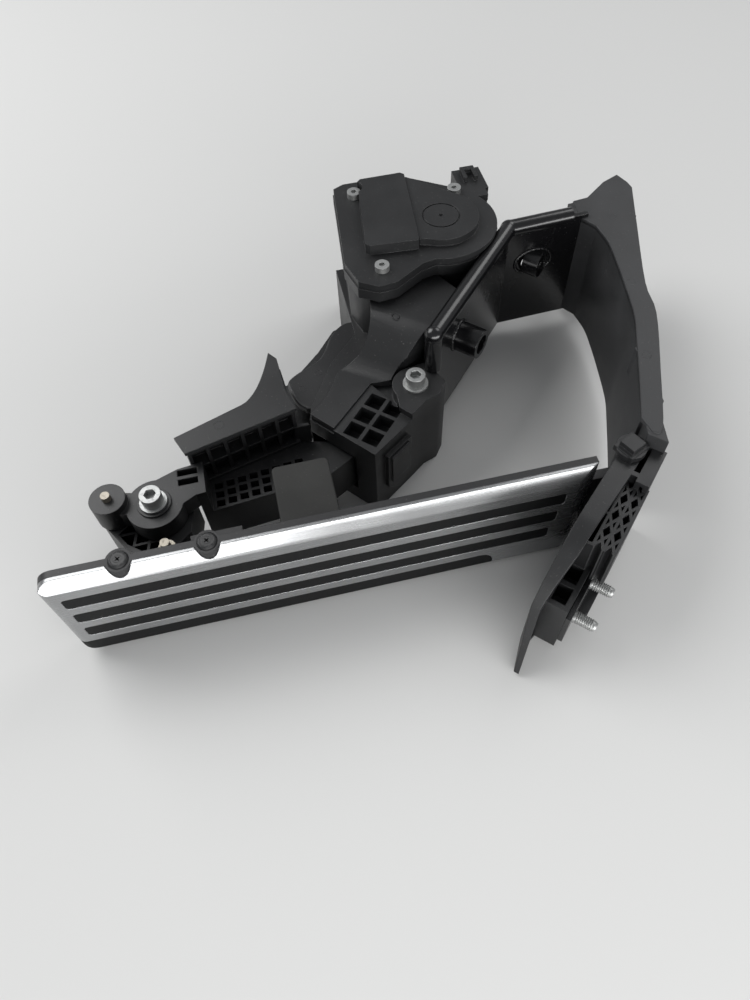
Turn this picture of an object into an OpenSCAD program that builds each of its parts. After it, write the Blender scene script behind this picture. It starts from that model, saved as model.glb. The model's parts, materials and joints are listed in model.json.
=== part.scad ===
// Floor hinged accelerator pedal unit, lying on its side.
// X runs along the pad, Z along the pivots, and the origin is the arm's pivot
// axis at the underside of the main housing. All sizes are in millimetres.

/* [Pad] */
// Length of the pad from toe end to heel end
pad_len = 252; // [220:1:280]
// Width of the pad along the hinge
pad_w = 64; // [58:1:72]
// Depth of the pad from its back face to its tread face
pad_t = 9; // [8:0.5:14]
// Thickness of the moulded back plate
pad_plate_t = 3.5; // [2.5:0.5:5]
// Height of the pad's lower edge over the resting plane
pad_lift = 3; // [1:0.5:8]
// Bevel along the long upper edge of the cover
bevel_top = 6; // [4:0.5:9]
// Bevel at the heel end of the cover
bevel_heel = 10; // [6:0.5:14]
// Radius of the toe end corners
toe_r = 8; // [5:0.5:12]
// Bevel at the toe end of the cover
bevel_toe = 4.5; // [3:0.5:7]
// Wall of the bright cover
trim_wall = 1.2; // [0.8:0.1:2]
// Number of grip strips
strip_count = 3; // [2:1:4]
// Width of one grip strip
strip_w = 8; // [5:0.5:8.5]
// Width of the bar between grip strips
bar_w = 6.2; // [4:0.2:6.6]
// Distance from the bevel to the first grip strip
strip_first = 6.5; // [5:0.5:8]
// Length of cover left bare past the heel end of the strips
strip_heel_gap = 15; // [12:1:40]
// Clearance round each grip strip in its slot
strip_gap = 0.15; // [0.1:0.05:0.3]
// Length of cover without the lower grip border
border_heel_gap = 46; // [30:1:80]

/* [Heel hinge] */
// Distance of the hinge from the arm's pivot along X
hinge_x = 46.5; // [40:0.5:55]
// Distance of the hinge from the arm's pivot across the pad
hinge_y = 157.4; // [140:0.5:175]
// Gap between the pad's heel end and the hinge axis
hinge_reach = 16.5; // [13:0.5:22]
// Radius of the hinge pin
hinge_pin_r = 3; // [2.5:0.1:4]
// Wall of the hinge barrels
hinge_wall = 3; // [2.5:0.1:4]
// Radial running clearance of every pivot
run_gap = 0.05; // [0.02:0.01:0.09]
// Clearance between faces that slide on each other
face_gap = 0.4; // [0.3:0.1:0.8]
// Height of each bracket ear on the hinge
ear_h = 9; // [6:0.5:12]

/* [Heel bracket] */
// Length of the heel bracket from the hinge to its tip
heel_len = 97; // [90:1:110]
// Height of the heel bracket at the hinge
heel_h = 66; // [60:1:76]
// Angle of the heel bracket and of the mounting faces
mount_angle = 45; // [40:1:50]
// Width of the heel bracket's rim
heel_rim = 10; // [8:0.5:14]
// Wall of the heel bracket
heel_wall = 2.5; // [2:0.1:3.5]
// Depth of the ribbed end by the hinge
heel_block = 15; // [13:0.5:20]
// Distance from the hinge to the first floor stud
stud_from_hinge = 46.5; // [44:0.5:52]
// Spacing of the floor studs
stud_pitch = 20; // [16:0.5:24]
// Height of the floor studs over the resting plane
stud_z = 22; // [18:0.5:26]
// Radius of the floor studs
stud_r = 3; // [2.5:0.5:4]
// Radius of the floor studs' roots
stud_root_r = 2.5; // [2:0.1:3]
// Length of the floor studs past their plate
stud_len = 11; // [9:0.5:20]

/* [Side arm] */
// Height of the side arm's top face
side_h = 75; // [66:1:80]
// Wall of the side arm
side_wall = 3; // [2:0.1:4]
// Height of the side arm's lower edge
side_low = 9; // [4:0.5:16]

/* [Steel bracket] */
// Thickness of the bracket plate
plate_t = 2.5; // [2:0.1:4]
// Height of the bracket plate's rim axis
rim_z = 77; // [70:1:82]
// Radius of the rolled rim
rim_r = 4.5; // [3:0.1:6]
// Height of the bracket plate's lower edge
plate_low = 8; // [4:0.5:14]
// Outer radius of the mounting collars
collar_r = 8; // [7:0.1:10]
// Bore radius of the mounting collars
collar_bore_r = 5.25; // [4:0.05:6]
// Length of the mounting collars
collar_len = 15; // [13:0.5:20]
// Height of the mounting collars' axes
collar_z = 52; // [46:0.5:58]

/* [Main housing] */
// Height of the main housing's top face
housing_h = 72; // [66:1:76]
// Wall of the main housing
housing_wall = 3; // [2:0.1:4]
// Height of the sensor chamber's rim
chamber_h = 80; // [77:0.5:84]
// Thickness of the sensor cover
cover_t = 4; // [3:0.1:6]
// Height of the raised pad on the sensor cover
cover_pad_h = 4; // [2:0.1:6]
// Radius of the sensor chamber round the pivot
chamber_r = 29; // [26:0.5:32]
// Height of the pocketed end of the housing
pocket_top = 50; // [46:0.5:52]
// Depth of the pockets
pocket_d = 8; // [4:0.5:9]
// Wall between the pockets
pocket_web = 2; // [1.5:0.1:3]

/* [Pedal arm] */
// Lower face of the ribbed arm
arm_low = 12; // [10:0.5:14]
// Depth of the ribbed arm
arm_h = 24; // [20:0.5:26]
// Width of the ribbed arm
arm_w = 15; // [12:0.5:18]
// Thickness of the arm's skin and ribs
arm_rib = 1.8; // [1.4:0.1:2.4]
// Radius of the pivot shaft
shaft_r = 5; // [4:0.1:6]
// Radius of the end disc
disc_r = 13.5; // [11:0.1:13.8]
// Thickness of the end disc
disc_h = 10; // [8:0.5:12]
// Height of the end disc's lower face
disc_low = 43; // [42.5:0.5:46]

/* [Link] */
// Lower face of the link
link_low = 20; // [18:0.5:24]
// Depth of the link
link_h = 22; // [18:0.5:22.4]
// Radius of the link pins
link_pin_r = 2.2; // [1.8:0.1:2.8]
// Radius of the boss over the arm end of the link
boss_r = 8.5; // [7:0.1:9]
// Free play of the pad end of the link, where the pin floats in its eye
eye_play = 1.9; // [1.7:0.1:2.2]

/* [Fasteners] */
// Radius of the socket bolts' heads
head_r = 5; // [4.5:0.1:6]
// Height of the socket bolts' heads
head_h = 6; // [5:0.1:8]
// Radius of the socket bolts' shanks
shank_r = 3; // [2.5:0.1:4]
// Radius of the flanged sleeve under each bolt
sleeve_r = 6.5; // [6:0.1:8]
// Radius of the cover screws' heads
screw_head_r = 3.8; // [3:0.1:4.5]
// Radius of the cover screws' shanks
screw_r = 2; // [1.5:0.1:2.5]

/* [Hidden] */
$fn = 48;
eps = 0.01;

// Pad places
pad_x0 = hinge_x - hinge_reach - pad_len;
face_top = pad_w - bevel_top;
border_top = face_top - strip_first - strip_count * (strip_w + bar_w);
strip_x0 = bevel_toe + 3;
strip_x1 = pad_len - strip_heel_gap;
strip_step = 2;
border_x1 = pad_len - border_heel_gap;
core_gap = 0.05;

// Link places
link_pad = [hinge_x - 214.2, -hinge_y + 7.8];
link_arm = [-192.5, -119.1];
link_len = norm(link_pad - link_arm);
link_turn = atan2(link_pad.y - link_arm.y, link_pad.x - link_arm.x);
link_top = link_low + link_h;
eye_r = link_pin_r + eye_play;
pin_cap_r = 4;
pin_cap_h = 11;
arm_end = [-171.8, -124.3];
disc_top = disc_low + disc_h;
boss_top = disc_top + 4;

// Housing places
mount_dir = [cos(mount_angle), sin(mount_angle)];
bracket_foot = [-24, -75];
bracket_knee = [37, -7];
bracket_end = [84, -5];
bolt_at = [-35.5, -84];
mouth_at = [-79, -103];
pocket_corner = [-65, -120];
pocket_far = [-57.8, -80.9];
arm_turn = atan2(mouth_at.y, mouth_at.x);
bolt_seat = 54;
cover_z = chamber_h;
cover_top = cover_z + cover_t;
spring_z0 = arm_low + arm_h + 4;
screw_places = [[-41, 34], [14, 23], [-39.5, -29.4]];
boss_wall_r = 6;
collar_places = [[-4.5, -53.5], [52, -5]];
stud_gap = 0.6;
clip_r = 4.4;
clip_places = [link_pad.x - pad_x0 - 18, link_pad.x - pad_x0 + 20];
clip_seat = pad_w - 8;
clip_y = -2;
clip_rim = 1.4;

// A point on the plate's face towards the housing, at a share of the way from foot to knee
plate_run = bracket_knee - bracket_foot;
function plate_face(s) = bracket_foot + plate_run * s
    + [-plate_run.y, plate_run.x] / norm(plate_run) * plate_t / 2;

// A point given along and across the heel bracket
function heel_point(x, y) = [hinge_x, -hinge_y]
    + x * [-mount_dir.x, -mount_dir.y] + y * [mount_dir.y, -mount_dir.x];

// A ring of the given bore and outside
module ring(r, bore, h) {
    difference() {
        cylinder(r = r, h = h);
        translate([0, 0, -1]) cylinder(r = bore, h = h + 2);
    }
}

// A straight strip of the given width between two points of the plan
module strip_between(a, b, w) {
    d = b - a;
    translate(a) rotate(atan2(d.y, d.x)) translate([0, -w / 2]) square([norm(d), w]);
}

// A path moved sideways to its left, mitred at its corners
function unit(v) = v / norm(v);
function left_of(v) = [-v.y, v.x];
function moved(path, d) = [
    for (i = [0:len(path) - 1])
        let (
            before = left_of(unit(i > 0 ? path[i] - path[i - 1] : path[1] - path[0])),
            after = left_of(unit(i < len(path) - 1 ? path[i + 1] - path[i] : path[i] - path[i - 1])),
            across = unit(before + after)
        ) path[i] + across * d / (across * before)
];

// A wall of the given thickness on the left of a path
module wall_along(path, t) {
    other = moved(path, t);
    polygon(concat(path, [for (i = [len(path) - 1:-1:0]) other[i]]));
}

module at_pad() {
    translate([pad_x0, -hinge_y, pad_lift]) children();
}

module at_heel() {
    translate([hinge_x, -hinge_y, 0]) rotate([0, 0, 180 + mount_angle]) children();
}

// Front outline of the pad, rounded at the toe end
module pad_outline(inset = 0) {
    r = toe_r - inset;
    translate([toe_r, inset]) square([pad_len - toe_r - inset, pad_w - 2 * inset]);
    translate([inset, toe_r]) square([toe_r, pad_w - 2 * toe_r]);
    for (z = [toe_r, pad_w - toe_r]) translate([toe_r, z]) circle(r);
}

// The bevelled block under the bright cover, grown inwards by the inset
module pad_form(inset = 0) {
    slope = inset * (sqrt(2) - 1);
    front = -pad_t + inset;
    back = -pad_plate_t;
    rise = pad_t - pad_plate_t;
    intersection() {
        rotate([90, 0, 90]) linear_extrude(pad_len)
            polygon([
                [back, inset], [back, pad_w - inset * sqrt(2)],
                [back - 1.5, pad_w - inset * sqrt(2)],
                [front, face_top - slope], [front, inset]
            ]);
        linear_extrude(pad_w)
            polygon([
                [inset, back], [inset + 0.3, back - 1.2],
                for (a = [20:20:80])
                    [inset + bevel_toe * (1 - cos(a)), back - 1.2 - (rise - 1.2 - inset) * sin(a)],
                [bevel_toe + inset, front], [pad_len - bevel_heel - slope, front],
                [pad_len - inset * sqrt(2), back]
            ]);
        rotate([90, 0, 0]) linear_extrude(pad_t) pad_outline(inset);
    }
}

// One grip strip's outline with round ends, in the pad's front plane
module strip_outline(i, grow = 0) {
    top = face_top - strip_first - i * (strip_w + bar_w);
    r = 1.5 + grow;
    x0 = strip_x0 - grow;
    x1 = strip_x1 - i * strip_step + grow;
    z0 = top - strip_w - grow;
    z1 = top + grow;
    translate([x0 + r, z0]) square([x1 - x0 - 2 * r, z1 - z0]);
    translate([x0, z0 + r]) square([x1 - x0, z1 - z0 - 2 * r]);
    for (x = [x0 + r, x1 - r], z = [z0 + r, z1 - r]) translate([x, z]) circle(r);
}

// Lower grip border's outline, with one large round corner at its heel end
module border_outline(grow = 0) {
    r = 7;
    top = border_top + grow;
    x1 = border_x1 + grow;
    translate([-1, -1]) square([x1 - r + 1, top + 1]);
    translate([-1, -1]) square([x1 + 1, top - r + 1]);
    translate([x1 - r, top - r]) circle(r);
}

module front_cut(depth) {
    rotate([90, 0, 0]) translate([0, 0, pad_t - depth]) linear_extrude(depth + 1) children();
}

// Holes of the push-in clips, grown by the gap
module clip_holes(gap) {
    for (x = clip_places) translate([x, clip_y, clip_seat]) cylinder(r = clip_r + gap, h = pad_w);
}

module pad_cover() {
    color([0.80, 0.81, 0.82]) at_pad() difference() {
        pad_form();
        clip_holes(clip_rim + 0.2);
        translate([0, eps, 0]) pad_form(trim_wall);
        for (i = [0:strip_count - 1]) front_cut(3) strip_outline(i, strip_gap);
        front_cut(pad_t - pad_plate_t) border_outline(strip_gap);
    }
}

module grip_strips() {
    seat = trim_wall + core_gap;
    color([0.05, 0.05, 0.055]) at_pad() {
        for (i = [0:strip_count - 1])
            translate([0, -pad_t + seat, 0]) rotate([90, 0, 0])
                linear_extrude(seat) strip_outline(i);
        intersection() {
            difference() {
                pad_form();
                pad_form(seat);
            }
            front_cut(pad_t - pad_plate_t - 0.1) border_outline();
        }
    }
}

// Lug of the pad under the link, with the seat of the link's pin
module link_lug() {
    at = link_pad + [-pad_x0, hinge_y];
    top = link_low - face_gap - pad_lift;
    wall = 4;
    lug_z = 6;
    lug_r = 7;
    lug_h = 40;
    box_from = 10;
    box_len = 24;
    box_d = 15;
    difference() {
        union() {
            translate([at.x, at.y, lug_z]) cylinder(r = lug_r, h = top - lug_z);
            translate([at.x - lug_r, -1, lug_z]) cube([2 * lug_r, at.y + 1, top - lug_z]);
            // Box beside the pin: floor, roof, two ends and a shelf
            for (z = [lug_z, lug_z + lug_h - wall])
                translate([at.x + box_from, -1, z]) cube([box_len, box_d, wall]);
            for (x = [0, box_len - wall])
                translate([at.x + box_from + x, -1, lug_z]) cube([wall, box_d, lug_h]);
            translate([at.x + box_from, -1, lug_z + lug_h / 2 - 2]) cube([box_len, box_d - wall, wall / 2]);
        }
        translate([at.x, at.y, top - 20]) cylinder(r = link_pin_r, h = 40);
    }
}

// Barrel and leaf that carry the pad on the hinge pin
module pad_barrel() {
    r = hinge_pin_r + run_gap;
    z0 = ear_h + face_gap;
    h = heel_h - 2 * ear_h - 2 * face_gap;
    translate([pad_len + hinge_reach, 0, z0 - pad_lift]) difference() {
        union() {
            cylinder(r = r + hinge_wall, h = h);
            translate([-hinge_reach - 6, -pad_plate_t, 4]) cube([hinge_reach + 6, 5, h - 8]);
        }
        translate([0, 0, -1]) cylinder(r = r, h = h + 2);
    }
}

module pad_back() {
    seat = trim_wall + core_gap;
    rib = 2;
    color([0.07, 0.07, 0.075]) at_pad() {
        difference() {
            union() {
                rotate([90, 0, 0]) linear_extrude(pad_plate_t) pad_outline();
                translate([0, eps, 0]) pad_form(seat);
                for (x = clip_places) translate([x, clip_y, clip_seat - 6])
                    cylinder(r = clip_r + clip_rim, h = pad_w - clip_seat + 6);
                // Long and cross ribs of the back
                for (z = [14, pad_w - 9]) translate([18, -eps, z]) cube([pad_len - 30, 2 + eps, rib]);
                for (x = [18:26:pad_len - 14]) translate([x, -eps, 14]) cube([rib, 2 + eps, pad_w - 23]);
            }
            clip_holes(0.05);
        }
        link_lug();
        pad_barrel();
    }
}

// Push-in clips on the pad's upper edge
module pad_clips() {
    color([0.10, 0.10, 0.105]) at_pad() for (x = clip_places)
        translate([x, clip_y, clip_seat]) {
            cylinder(r = clip_r, h = pad_w - clip_seat + 0.4);
            translate([0, 0, pad_w - clip_seat + 0.4]) cylinder(r1 = clip_r, r2 = clip_r - 0.7, h = 0.7);
        }
}

// Rubber block on the pad's back that meets the arm at full travel
module stop_block() {
    w = 27;
    d = 33;
    h = 22;
    r = 2.5;
    color([0.13, 0.13, 0.13]) at_pad() translate([-115.5 - pad_x0, 2.1, 35]) {
        difference() {
            linear_extrude(h) {
                translate([r, 0]) square([w - 2 * r, d]);
                translate([0, 0]) square([w, d - r]);
                for (x = [r, w - r]) translate([x, d - r]) circle(r);
            }
            translate([3, -1, -1]) cube([w - 6, d - 3, h - 2.5]);
        }
    }
}

module pad_link_pin() {
    top = link_low - face_gap;
    color([0.72, 0.68, 0.58]) translate([link_pad.x, link_pad.y, 0]) {
        translate([0, 0, top - 9]) cylinder(r = link_pin_r, h = link_top + 16 - top + 9);
        translate([0, 0, link_top + face_gap]) cylinder(r = pin_cap_r, h = pin_cap_h);
    }
}

// Side outline of the heel bracket, from the hinge down to the tip
heel_start = hinge_pin_r + run_gap + hinge_wall + 1;
heel_outline = [
    [heel_start, 0], [heel_len - 2, 0], [heel_len, 2],
    [heel_len - 9, heel_h - 46], [heel_len - 17, heel_h - 30],
    [heel_len - 25, heel_h - 18], [heel_len - 35, heel_h - 9], [heel_len - 45, heel_h - 3],
    [heel_len - 55, heel_h], [heel_start, heel_h]
];
stud_places = [stud_from_hinge, stud_from_hinge + stud_pitch];
stud_pad = 11;
heel_back = 7;
heel_front = -4;
heel_lattice_end = 52;

// Line of the bracket's front skin in plan, bowed towards the pad and back at the tip
heel_line = [
    [heel_start, heel_front], [heel_len - 40, heel_front - 2],
    [heel_len - 18, heel_front - 3], [heel_len, heel_front + 2]
];

// Rim of the heel bracket: the outline less the same outline moved inwards
module heel_rim_shape() {
    inner = moved(heel_outline, heel_wall);
    difference() {
        polygon(heel_outline);
        polygon([
            [0, heel_wall], [heel_len - 2 * heel_wall, heel_wall],
            for (i = [3:len(heel_outline) - 2]) inner[i], [0, heel_h - heel_wall]
        ]);
    }
}

// A plan of the bracket between its skin's line and the same line moved back, as high as the outline
module heel_slice(back) {
    intersection() {
        linear_extrude(heel_h) polygon(concat(heel_line, back));
        translate([0, heel_block, 0]) rotate([90, 0, 0]) linear_extrude(heel_block * 2) children();
    }
}

module heel_bracket() {
    barrel_r = hinge_pin_r + run_gap + hinge_wall;
    leaf_room = 14;
    color([0.08, 0.08, 0.085]) difference() {
        union() {
            at_heel() {
                heel_slice([for (i = [3:-1:0]) heel_line[i] + [0, heel_wall]]) polygon(heel_outline);
                heel_slice([
                    heel_line[3] + [0, heel_wall], heel_line[2] + [0, heel_wall + 2],
                    heel_line[1] + [0, heel_rim - 2], heel_line[0] + [0, heel_rim]
                ]) heel_rim_shape();
                stud_block();
                heel_lattice();
                heel_block_walls();
            }
            // Ears of the hinge
            for (z = [0, heel_h - ear_h]) translate([hinge_x, -hinge_y, z]) {
                cylinder(r = barrel_r, h = ear_h);
                rotate(180 + mount_angle) translate([hinge_pin_r + 1, heel_front, 0])
                    cube([barrel_r - hinge_pin_r + 2, heel_rim, ear_h]);
            }
        }
        translate([hinge_x, -hinge_y, -1]) cylinder(r = hinge_pin_r, h = heel_h + 2);
        // Room for the pad's barrel and leaf through the whole travel
        translate([hinge_x, -hinge_y, ear_h]) cylinder(r = barrel_r + 0.6, h = heel_h - 2 * ear_h);
        translate([hinge_x - leaf_room, -hinge_y - pad_plate_t - 1, ear_h + 2])
            cube([leaf_room, pad_plate_t + 1, heel_h - 2 * ear_h - 4]);
        at_heel() {
            for (x = stud_places) translate([x, 0, stud_z]) rotate([-90, 0, 0])
                cylinder(r = stud_root_r, h = heel_block + 12);
            stud_plate_form();
        }
    }
}

// Block behind the skin that backs the stud plate, hollowed from above
module stud_block() {
    x0 = stud_places[0] - 8;
    w = stud_pitch + 17;
    h = 38;
    t = heel_wall;
    difference() {
        translate([x0, heel_front, 2]) cube([w, stud_pad - plate_t - heel_front, h]);
        for (i = [0:2]) translate([x0 + t + i * (w - t) / 3, -1, stud_z + stud_r + 2])
            cube([(w - t) / 3 - t, stud_pad - plate_t - t + 1, h]);
    }
}

// Lattice of crossed ribs behind the skin, in two rows, open at the top and cleared round the studs
module heel_lattice() {
    t = 1.4;
    top = heel_h - 5;
    x0 = heel_start + 6;
    x1 = heel_lattice_end;
    y0 = heel_front + heel_rim - 1;
    row = (heel_block - y0) / 2;
    cells = 4;
    cell = (x1 - x0) / cells;
    difference() {
        linear_extrude(top) {
            for (j = [0:1], i = [0:cells - 1]) {
                a = [x0 + i * cell, y0 + j * row];
                strip_between(a, a + [cell, row], t);
                strip_between(a + [0, row], a + [cell, 0], t);
            }
            for (j = [0:2]) strip_between([x0, y0 + j * row], [x1, y0 + j * row], t);
        }
        translate([stud_places[0] - 8, stud_pad, heel_wall])
            cube([heel_len, heel_block, stud_z + 12 - heel_wall]);
    }
    // Floor and front ties of the lattice
    linear_extrude(heel_wall) polygon([
        [x0, heel_front + 1], [x1 + 1, heel_front + 1], [x1 + 1, heel_block], [x0, heel_block]
    ]);
    for (x = [x0, (x0 + x1) / 2, x1 - t]) translate([x, heel_front + 1, 0]) cube([t, y0 - heel_front, top]);
}

// Wall behind the hinge, with its floor and roof, that carries the side arm
module heel_block_walls() {
    t = heel_wall;
    behind = hinge_pin_r + hinge_wall + 2.5;
    end = heel_start + 8;
    for (z = [0, heel_h - t])
        translate([-heel_back, behind, z]) cube([heel_back + end, heel_block - behind, t]);
    translate([-heel_back, behind, 0]) cube([heel_back + end, t, heel_h]);
    translate([heel_start + 3, heel_front + 1, 0]) cube([t, heel_block - heel_front - 1, heel_h]);
    translate([-heel_back, heel_block - t, 0]) cube([heel_back + end, t, heel_h]);
}

module stud_plate_form() {
    translate([stud_places[0] - 6, stud_pad - plate_t, stud_z - 12]) cube([stud_pitch + 15, plate_t, 24]);
}

module stud_plate() {
    color([0.12, 0.12, 0.125]) at_heel() difference() {
        stud_plate_form();
        for (x = stud_places) translate([x, stud_pad - plate_t - 1, stud_z]) rotate([-90, 0, 0])
            cylinder(r = stud_root_r, h = plate_t + 2);
    }
}

module floor_studs() {
    color([0.78, 0.78, 0.76]) at_heel() for (x = stud_places)
        translate([x, 0, stud_z]) rotate([-90, 0, 0]) {
            cylinder(r = stud_root_r, h = stud_pad + eps);
            translate([0, 0, stud_pad]) cylinder(r = stud_r, h = stud_len - 1);
            translate([0, 0, stud_pad + stud_len - 1]) cylinder(r1 = stud_r, r2 = stud_r - 0.9, h = 1);
        }
}

module hinge_pin() {
    color([0.70, 0.70, 0.68]) translate([hinge_x, -hinge_y, 0.5]) cylinder(r = hinge_pin_r, h = heel_h - 1);
}

// Moulded clip over the top of the hinge
module hinge_retainer() {
    r = hinge_pin_r + run_gap + hinge_wall;
    color([0.06, 0.06, 0.065]) translate([hinge_x, -hinge_y, heel_h]) difference() {
        union() {
            cylinder(r = r + 1, h = 3);
            rotate(mount_angle - 20) translate([-6, -5.5, 0]) cube([12, 11, 3.5]);
            rotate(mount_angle - 20) translate([-4, -4, 3]) cube([8, 8, 3]);
        }
        translate([0, 0, -1]) cylinder(r = hinge_pin_r - 1, h = 3);
    }
}

// Plan of the side arm's top face, outside then inside
side_outer = [
    [59, -154], [61, -156], [80, -114], [91.5, -85], [99.5, -52], [119, 8], [116.5, 26], [104, 22], [85, 9.5]
];
side_inner = [
    [84, -14], [87.5, -42], [84, -80], [73.5, -115], [62, -139], [56, -152]
];
side_foot = [
    [56, -148], [68, -118], [82, -81], [86, -50], [82, -15]
];

// Wall that follows the inner edge, leaning in towards its foot
module side_wall_piece(a, b, c, d) {
    h = side_h - side_low;
    t = side_wall;
    hull() {
        translate([a.x, a.y, side_h - 2]) cylinder(r = t / 2, h = 2, $fn = 8);
        translate([b.x, b.y, side_h - 2]) cylinder(r = t / 2, h = 2, $fn = 8);
        translate([c.x, c.y, side_low]) cylinder(r = t / 2, h = 2, $fn = 8);
        translate([d.x, d.y, side_low]) cylinder(r = t / 2, h = 2, $fn = 8);
    }
}

module side_arm() {
    top_t = 3;
    color([0.09, 0.09, 0.095]) {
        difference() {
            union() {
                translate([0, 0, side_h - top_t]) linear_extrude(top_t)
                    polygon(concat(side_outer, side_inner));
                for (i = [0:len(side_inner) - 2]) {
                    j = len(side_inner) - 1 - i;
                    side_wall_piece(side_inner[j], side_inner[j - 1], side_foot[i], side_foot[min(i + 1, 4)]);
                }
                // Outer skirt
                translate([0, 0, side_h - 16]) linear_extrude(16)
                    wall_along([for (i = [1:len(side_outer) - 2]) side_outer[i]], side_wall);
                // Sleeve over the end of the steel bracket
                translate([0, 0, plate_low]) linear_extrude(side_h - plate_low)
                    polygon([[76, -2.5], [100, -1.5], [100, 10], [76, 9]]);
                // Lug that seats on the heel bracket behind the hinge
                translate([0, 0, side_h - 40]) linear_extrude(40)
                    polygon([
                        heel_point(-heel_back, 9), heel_point(-heel_back, heel_block),
                        [63.5, -147], [59, -145]
                    ]);
            }
            translate([0, 0, plate_low - 2]) linear_extrude(side_h)
                strip_between(bracket_knee, bracket_end + [2, 0], plate_t + 0.2);
        }
    }
}

// Pressed steel plate with a rolled upper rim and a turned-down front end
module steel_bracket() {
    down = rim_z - bolt_seat - 0.4;
    color([0.02, 0.02, 0.022]) difference() {
        union() {
            translate([0, 0, plate_low]) linear_extrude(rim_z - plate_low) {
                strip_between(bracket_foot, bracket_knee, plate_t);
                strip_between(bracket_knee, bracket_end, plate_t);
                translate(bracket_knee) circle(plate_t / 2);
            }
            translate([bracket_foot.x, bracket_foot.y, rim_z - down]) cylinder(r = rim_r, h = down);
            for (p = [bracket_foot, bracket_knee]) translate([p.x, p.y, rim_z]) sphere(rim_r + 0.3);
            rim_bar(bracket_foot, bracket_knee);
            rim_bar(bracket_knee, bracket_end - [10, 0]);
        }
        for (p = collar_places) collar_bore(p);
    }
}

module rim_bar(a, b, gap = 0) {
    d = b - a;
    translate([a.x, a.y, rim_z]) rotate([0, 90, atan2(d.y, d.x)]) cylinder(r = rim_r + gap, h = norm(d));
}

// Both collars end in one plane, square to the studs
function reach(p) = (p.x - p.y) * mount_dir.x;
function collar_depth(p) = collar_len + reach(collar_places[0]) - reach(p);

module collar_bore(p, gap = 0) {
    translate([p.x, p.y, collar_z]) rotate([90, 0, 90 - mount_angle])
        translate([0, 0, -8]) cylinder(r = collar_bore_r + gap, h = collar_len + 20);
}

module mount_collars() {
    color([0.03, 0.03, 0.034]) difference() {
        for (p = collar_places)
            translate([p.x, p.y, collar_z]) rotate([90, 0, 90 - mount_angle])
                cylinder(r = collar_r, h = collar_depth(p));
        for (p = collar_places) collar_bore(p);
        translate([0, 0, plate_low - 1]) linear_extrude(rim_z) behind_plate();
    }
}

// All of the plan from the plate's front face to the far side
module behind_plate() {
    a = bracket_knee - bracket_foot;
    b = bracket_end - bracket_knee;
    right_a = [a.y, -a.x] / norm(a) * plate_t / 2;
    right_b = [b.y, -b.x] / norm(b) * plate_t / 2;
    polygon([
        bracket_foot + right_a, bracket_knee + right_a, bracket_knee + right_b, bracket_end + right_b,
        bracket_end + [0, 60], bracket_foot + [-60, 130], bracket_foot + [-60, 0]
    ]);
}

// Plan of the sensor chamber, grown outwards by g
function chamber_points(g) = [
    [-49.5 - g, 42 + g], [-45, 45 + g], [-13, 45 + g], [13 + g, 26 + g], [28, 0],
    [20, -20 - g], [-18, -29 - g], [-34, -39 - g], [-44, -40 - g], [-52 - g, -34 - g], [-56 - g, -20]
];

module chamber_plan(g = 0) {
    polygon(chamber_points(g));
    circle(chamber_r + g);
}

// Plan of the lower housing, outside its chamber
housing_points = [
    [-57, 20], [-57, -34], [-74, -52], [-90, -80], [-92, -88], [-65, -120], [-42, -103],
    [-33, -96], [-25, -93], [-20, -86], plate_face(0), plate_face(0.84), [10, 20]
];

module housing_plan() {
    polygon(housing_points);
    translate(bolt_at) circle(12);
}

// Space swept by the arm, grown outwards by the gap
module arm_room(gap) {
    swing = 13;
    half = arm_w / 2 + gap;
    circle(23 + gap);
    rotate(arm_turn) polygon([[0, half], [160, half], [160, -half - swing], [0, -half]]);
}

// The six pockets at the front end of the housing
module pockets() {
    along = pocket_far - [-79, -104];
    across = pocket_corner - [-79, -104];
    rows = 3;
    columns = 2;
    row = norm(along) / rows;
    column = norm(across) / columns;
    turn = atan2(along.y, along.x);
    translate([-79, -104, 0]) rotate(turn) for (i = [0:rows - 1], j = [0:columns - 1])
        translate([i * row + pocket_web / 2 + 1, -(j + 1) * column + pocket_web / 2 + 1, 0])
            square([row - pocket_web, column - pocket_web]);
}

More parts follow.
